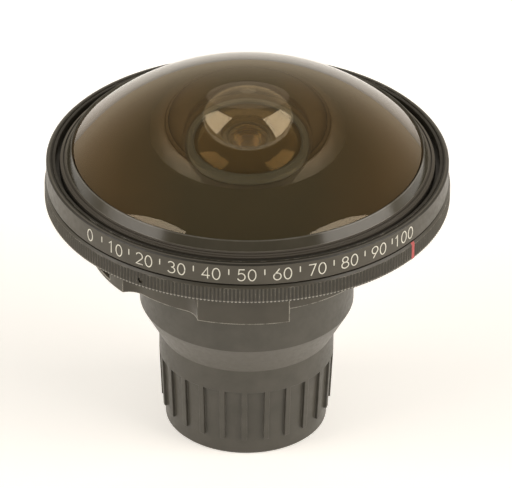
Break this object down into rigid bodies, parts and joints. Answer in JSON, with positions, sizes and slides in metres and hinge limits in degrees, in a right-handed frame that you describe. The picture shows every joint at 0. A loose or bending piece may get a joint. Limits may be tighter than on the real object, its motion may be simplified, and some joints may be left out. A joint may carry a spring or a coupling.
{
  "type": "fisheye lens",
  "caption": "Circular fisheye camera lens with a large glass dome, knurled filter ring, lobed aperture ring, bayonet tail and deep ribbed rear cap.",
  "frame": {"origin": "centre of the rear cap's base, where the lens stands", "axes": "+Z along the optical axis towards the dome, -Y the front with the scale's zero"},
  "size_m": [0.093, 0.093, 0.0881],
  "materials": {
    "front_glass": "polished, amber-brown coating",
    "inner_glass": "polished, coated",
    "clear_filter": "polished",
    "yellow_filter": "polished",
    "deep_yellow_filter": "polished",
    "orange_filter": "polished",
    "red_filter": "polished",
    "green_filter": "polished",
    "matt_black": "matt black",
    "black_enamel": "satin black, worn at the edges",
    "brass": "turned",
    "steel": "plain",
    "chrome": "satin chrome",
    "blade_steel": "blackened",
    "cap_plastic": "satin moulded"
  },
  "bodies": {
    "lens": {"front_element": "front_glass", "front_retaining_ring": "matt_black", "name_ring": "black_enamel", "front_cell": "matt_black", "second_element": "inner_glass", "second_retaining_ring": "matt_black", "third_front_element": "inner_glass", "third_rear_element": "inner_glass", "third_retaining_ring": "matt_black", "main_barrel": "black_enamel", "head_screws": "steel", "turret_axle": "steel", "iris_plate": "matt_black", "iris_spacer": "matt_black", "iris_keeper": "matt_black", "mount_ring": "chrome", "mount_screws": "steel", "tail_tube": "black_enamel", "tail_retaining_ring": "matt_black", "fourth_element": "inner_glass", "front_spacer": "matt_black", "middle_front_element": "inner_glass", "middle_rear_element": "inner_glass", "rear_spacer": "matt_black", "rear_front_element": "inner_glass", "rear_rear_element": "inner_glass"},
    "selector": {"selector_ring": "black_enamel", "selector_gear": "brass", "selector_set_screws": "steel"},
    "turret": {"filter_turret": "brass", "filter_clear": "clear_filter", "filter_yellow": "yellow_filter", "filter_deep_yellow": "deep_yellow_filter", "filter_orange": "orange_filter", "filter_red": "red_filter", "filter_green": "green_filter", "filter_rings": "matt_black"},
    "aperture": {"aperture_ring": "black_enamel", "iris_cam_ring": "brass", "aperture_drive_pin": "steel"},
    "blade_1": {"iris_blade_1": "blade_steel"},
    "blade_2": {"iris_blade_2": "blade_steel"},
    "blade_3": {"iris_blade_3": "blade_steel"},
    "blade_4": {"iris_blade_4": "blade_steel"},
    "blade_5": {"iris_blade_5": "blade_steel"},
    "blade_6": {"iris_blade_6": "blade_steel"},
    "cap": {"rear_cap": "cap_plastic"}
  },
  "joints": [
    {"name": "selector_turn", "type": "hinge", "parent": "lens", "child": "selector", "pos_m": [0, 0, 0.0612], "axis": [0, 0, 1], "range_deg": [0, 194]},
    {"name": "turret_turn", "type": "hinge", "parent": "lens", "child": "turret", "pos_m": [0, 0.012, 0.0604], "axis": [0, 0, 1], "range_deg": [0, 300]},
    {"name": "aperture_turn", "type": "hinge", "parent": "lens", "child": "aperture", "pos_m": [0, 0, 0.0525], "axis": [0, 0, 1], "range_deg": [0, 48]},
    {"name": "blade_1_pivot", "type": "hinge", "parent": "lens", "child": "blade_1", "pos_m": [0.01, 0, 0.05], "axis": [0, 0, 1], "range_deg": [0, 24]},
    {"name": "blade_2_pivot", "type": "hinge", "parent": "lens", "child": "blade_2", "pos_m": [0.005, 0.00866, 0.05], "axis": [0, 0, 1], "range_deg": [0, 24]},
    {"name": "blade_3_pivot", "type": "hinge", "parent": "lens", "child": "blade_3", "pos_m": [-0.005, 0.00866, 0.05], "axis": [0, 0, 1], "range_deg": [0, 24]},
    {"name": "blade_4_pivot", "type": "hinge", "parent": "lens", "child": "blade_4", "pos_m": [-0.01, 0, 0.05], "axis": [0, 0, 1], "range_deg": [0, 24]},
    {"name": "blade_5_pivot", "type": "hinge", "parent": "lens", "child": "blade_5", "pos_m": [-0.005, -0.00866, 0.05], "axis": [0, 0, 1], "range_deg": [0, 24]},
    {"name": "blade_6_pivot", "type": "hinge", "parent": "lens", "child": "blade_6", "pos_m": [0.005, -0.00866, 0.05], "axis": [0, 0, 1], "range_deg": [0, 24]},
    {"name": "cap_pull", "type": "slide", "parent": "lens", "child": "cap", "axis": [0, 0, -1], "range_m": [0, 0.046]}
  ],
  "couplings": [
    {"joint": "turret_turn", "follows": "selector_turn", "ratio": 1.5455},
    {"joint": "blade_1_pivot", "follows": "aperture_turn", "ratio": 0.5},
    {"joint": "blade_2_pivot", "follows": "aperture_turn", "ratio": 0.5},
    {"joint": "blade_3_pivot", "follows": "aperture_turn", "ratio": 0.5},
    {"joint": "blade_4_pivot", "follows": "aperture_turn", "ratio": 0.5},
    {"joint": "blade_5_pivot", "follows": "aperture_turn", "ratio": 0.5},
    {"joint": "blade_6_pivot", "follows": "aperture_turn", "ratio": 0.5}
  ]
}
